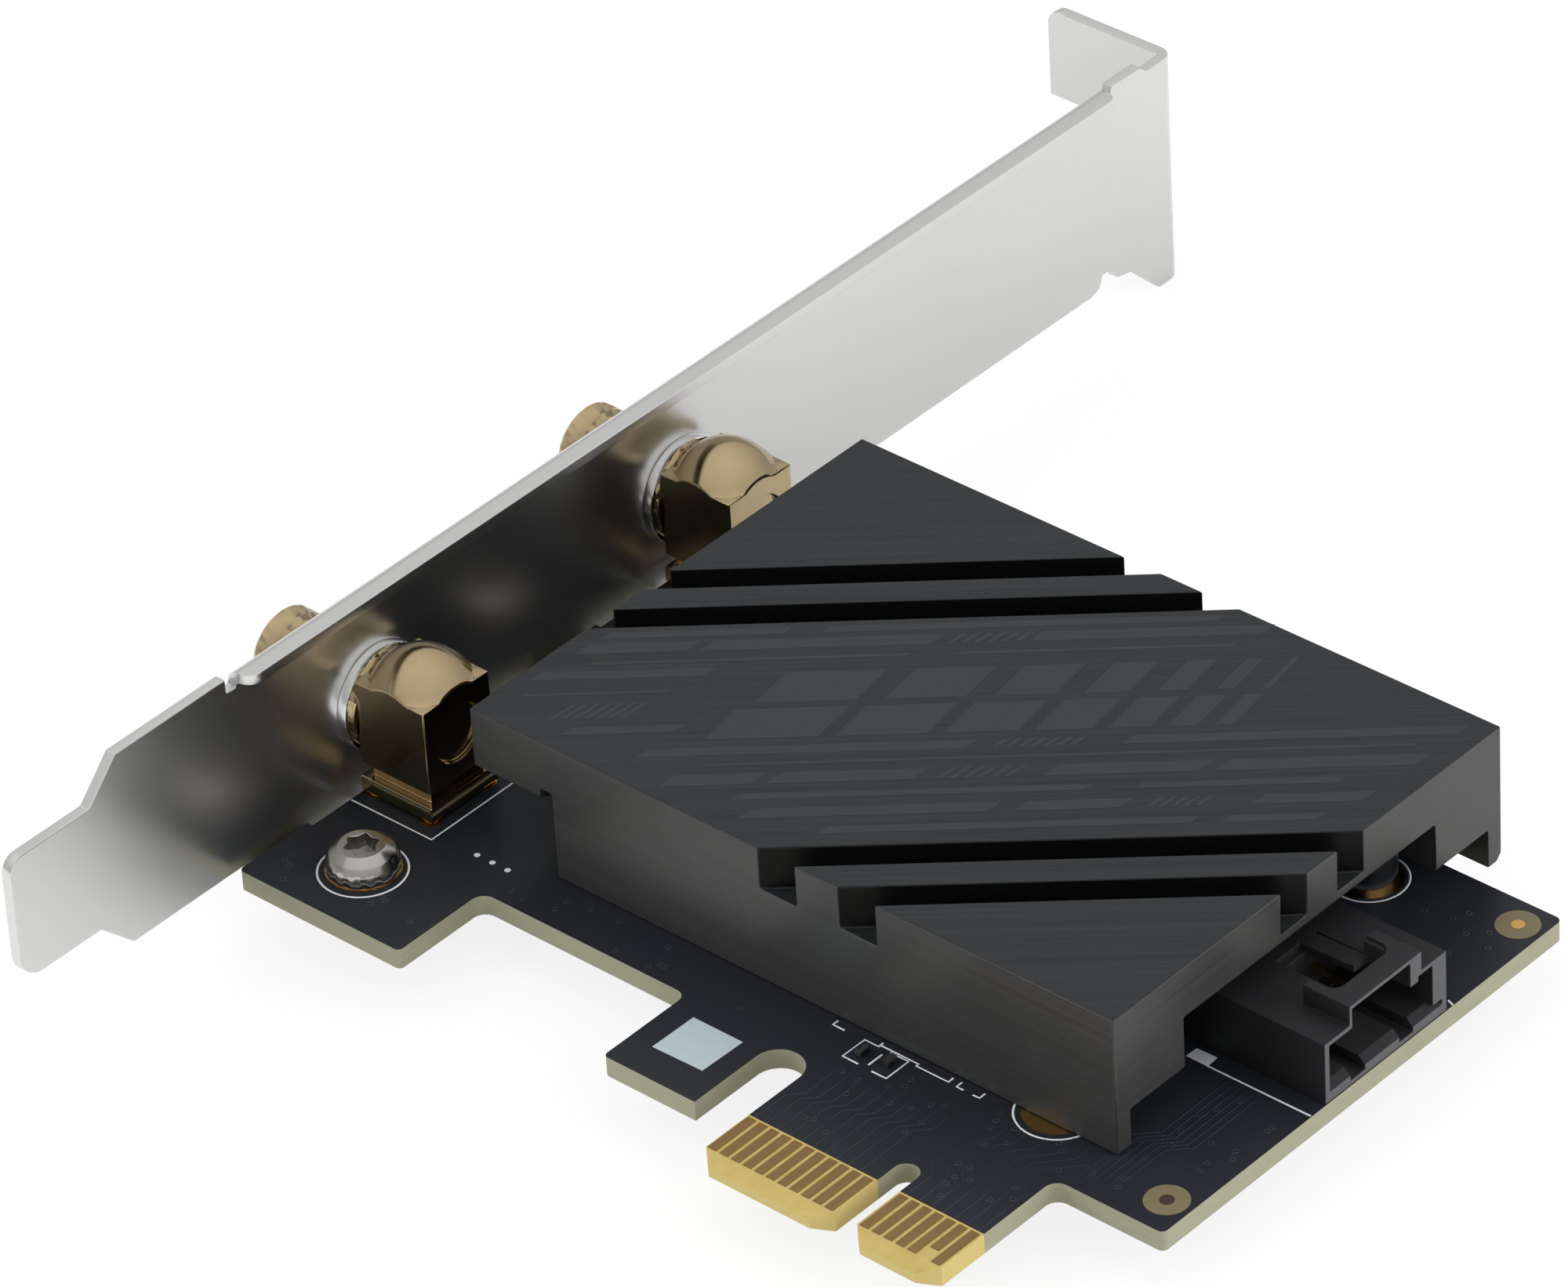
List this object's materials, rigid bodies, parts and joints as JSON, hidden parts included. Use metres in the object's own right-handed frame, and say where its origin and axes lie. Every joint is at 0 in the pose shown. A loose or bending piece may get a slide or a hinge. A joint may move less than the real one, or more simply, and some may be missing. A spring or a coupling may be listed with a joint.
{
  "type": "pcie wifi card",
  "caption": "Single-lane expansion card with a full-height steel bracket, threaded antenna ports, a dark slab heatsink with slanted grooves and a side-entry accessory header.",
  "frame": {"origin": "centre of the key notch on the card's finger edge, half way through the board's thickness", "axes": "+X from the bracket toward the far board edge, +Y from the finger edge toward the bracket's screw tab, +Z out of the component side, toward the heatsink"},
  "size_m": [0.0859, 0.1204, 0.02],
  "materials": {
    "board_mask": "semi gloss solder mask over glass laminate",
    "gold_plating": "thin gold plating",
    "bracket_steel": "satin nickel plated sheet",
    "screw_steel": "machined and plated",
    "dark_anodised": "fine brushed, dark anodised",
    "stud_metal": "dark plated",
    "module_laminate": "solder mask",
    "shield_tin": "tinned sheet",
    "gap_pad": "soft matt",
    "connector_brass": "pale gold plated",
    "ring_nickel": "bright nickel",
    "white_dielectric": "smooth",
    "black_housing": "fine moulded satin",
    "chip_ceramic": "fired ceramic with tinned ends",
    "black_epoxy": "moulded epoxy",
    "ferrite_grey": "pressed ferrite",
    "tin_solder": "bright solder"
  },
  "bodies": {
    "root": {"circuit_board": "board_mask", "edge_contacts_top": "gold_plating", "edge_contacts_bottom": "gold_plating", "plated_pads": "gold_plating", "bracket": "bracket_steel", "bracket_screws": "screw_steel", "heatsink": "dark_anodised", "heatsink_standoffs": "stud_metal", "heatsink_screws": "screw_steel", "module_board": "module_laminate", "module_shield": "shield_tin", "thermal_pad": "gap_pad", "connector_1_body": "connector_brass", "connector_1_insulator": "white_dielectric", "connector_1_pin": "gold_plating", "connector_1_ring": "ring_nickel", "connector_1_lock_washer": "ring_nickel", "connector_1_nut": "ring_nickel", "connector_2_body": "connector_brass", "connector_2_insulator": "white_dielectric", "connector_2_pin": "gold_plating", "connector_2_ring": "ring_nickel", "connector_2_lock_washer": "ring_nickel", "connector_2_nut": "ring_nickel", "header_housing": "black_housing", "header_pins": "gold_plating", "coupling_capacitors": "chip_ceramic", "bypass_capacitors": "chip_ceramic", "resistors": "black_epoxy", "power_inductor": "ferrite_grey", "regulator_chip": "black_epoxy", "crystal_can": "shield_tin", "solder_joints": "tin_solder"}
  },
  "joints": []
}
